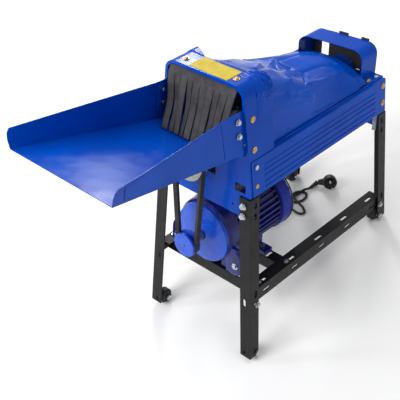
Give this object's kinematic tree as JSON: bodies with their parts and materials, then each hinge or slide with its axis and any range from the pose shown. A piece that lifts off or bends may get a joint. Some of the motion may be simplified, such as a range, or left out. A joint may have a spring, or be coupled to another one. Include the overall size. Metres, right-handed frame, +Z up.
{
  "type": "electric maize sheller",
  "caption": "Belt-driven maize sheller: inclined sheet-metal threshing body with feed tray, rubber curtain and cob hood on a slotted-angle stand with motor and small wheels.",
  "frame": {"origin": "centre of the footprint box on the floor, cord and plug left out", "axes": "+Z up, +Y from the feed tray towards the cob outlet, +X to the side of the printed cover"},
  "size_m": [0.331, 0.859, 0.7378],
  "materials": {
    "blue_sheet": "gloss powder coat",
    "black_enamel": "semi-gloss black enamel",
    "zinc_plate": "zinc plated",
    "wheel_rubber": "moulded rubber",
    "sheet_rubber": "matt sheet rubber",
    "belt_rubber": "wrapped belt cloth",
    "cord_rubber": "smooth cord jacket",
    "black_plastic": "moulded",
    "navy_casting": "painted casting",
    "navy_sheet": "painted sheet",
    "bare_steel": "bare sheet steel",
    "ground_steel": "ground bar",
    "grey_iron": "machined",
    "blue_enamel": "gloss enamel",
    "yellow_vinyl": "plain sticker"
  },
  "bodies": {
    "frame": {"leg_front_right": "black_enamel", "leg_rear_right": "black_enamel", "rail_right": "black_enamel", "side_panel_right": "blue_sheet", "leg_bolts_front_right": "zinc_plate", "leg_bolts_rear_right": "zinc_plate", "axle_front_right": "zinc_plate", "axle_rear_right": "zinc_plate", "tray_bolt_upper_right": "zinc_plate", "tray_bolt_lower_right": "zinc_plate", "motor_foot_bolt_front_right": "zinc_plate", "motor_foot_bolt_rear_right": "zinc_plate", "leg_front_left": "black_enamel", "leg_rear_left": "black_enamel", "rail_left": "black_enamel", "side_panel_left": "blue_sheet", "leg_bolts_front_left": "zinc_plate", "leg_bolts_rear_left": "zinc_plate", "axle_front_left": "zinc_plate", "axle_rear_left": "zinc_plate", "tray_bolt_upper_left": "zinc_plate", "tray_bolt_lower_left": "zinc_plate", "motor_foot_bolt_front_left": "zinc_plate", "motor_foot_bolt_rear_left": "zinc_plate", "motor_crossbar_front": "black_enamel", "motor_crossbar_rear": "black_enamel", "front_arch": "blue_sheet", "rear_plate": "blue_sheet", "top_cover": "blue_sheet", "discharge_hood": "blue_sheet", "outlet_flap_left": "sheet_rubber", "outlet_flap_right": "sheet_rubber", "feed_tray": "blue_sheet", "rubber_curtain": "sheet_rubber", "top_label": "yellow_vinyl", "concave_screen": "bare_steel", "bearing_front": "navy_casting", "bearing_rear": "navy_casting", "drive_belt": "belt_rubber", "motor_front_cover": "blue_enamel", "motor_end_bell": "navy_casting", "motor_body": "navy_casting", "motor_rear_bell": "black_enamel", "motor_fan_cowl": "navy_sheet", "motor_stator": "bare_steel", "terminal_box": "black_plastic", "cable_gland": "black_plastic", "power_cord": "cord_rubber", "plug_sleeve": "cord_rubber", "power_plug": "black_plastic"},
    "drum": {"drum_rotor": "bare_steel", "drum_shaft": "ground_steel", "drum_pulley": "grey_iron"},
    "motor_shaft": {"motor_rotor": "ground_steel", "motor_pulley": "blue_enamel", "motor_fan": "black_plastic"},
    "wheel_front_right": {"wheel_front_right": "wheel_rubber"},
    "wheel_front_left": {"wheel_front_left": "wheel_rubber"},
    "wheel_rear_right": {"wheel_rear_right": "wheel_rubber"},
    "wheel_rear_left": {"wheel_rear_left": "wheel_rubber"}
  },
  "joints": [
    {"name": "drum_spin", "type": "hinge", "parent": "frame", "child": "drum", "pos_m": [0, 0.15844, 0.43727], "axis": [0, 0.9735, -0.2286], "continuous": true},
    {"name": "motor_spin", "type": "hinge", "parent": "frame", "child": "motor_shaft", "pos_m": [-0.008, -0.0388, 0.25349], "axis": [0, 0.9735, -0.2286], "continuous": true},
    {"name": "wheel_front_right_spin", "type": "hinge", "parent": "frame", "child": "wheel_front_right", "pos_m": [0.14148, -0.19504, 0.019], "axis": [1, 0, 0], "continuous": true},
    {"name": "wheel_front_left_spin", "type": "hinge", "parent": "frame", "child": "wheel_front_left", "pos_m": [-0.14148, -0.19504, 0.019], "axis": [1, 0, 0], "continuous": true},
    {"name": "wheel_rear_right_spin", "type": "hinge", "parent": "frame", "child": "wheel_rear_right", "pos_m": [0.13376, 0.32113, 0.019], "axis": [1, 0, 0], "continuous": true},
    {"name": "wheel_rear_left_spin", "type": "hinge", "parent": "frame", "child": "wheel_rear_left", "pos_m": [-0.13376, 0.32113, 0.019], "axis": [1, 0, 0], "continuous": true}
  ],
  "couplings": [
    {"joint": "motor_spin", "follows": "drum_spin", "ratio": 1.59}
  ]
}
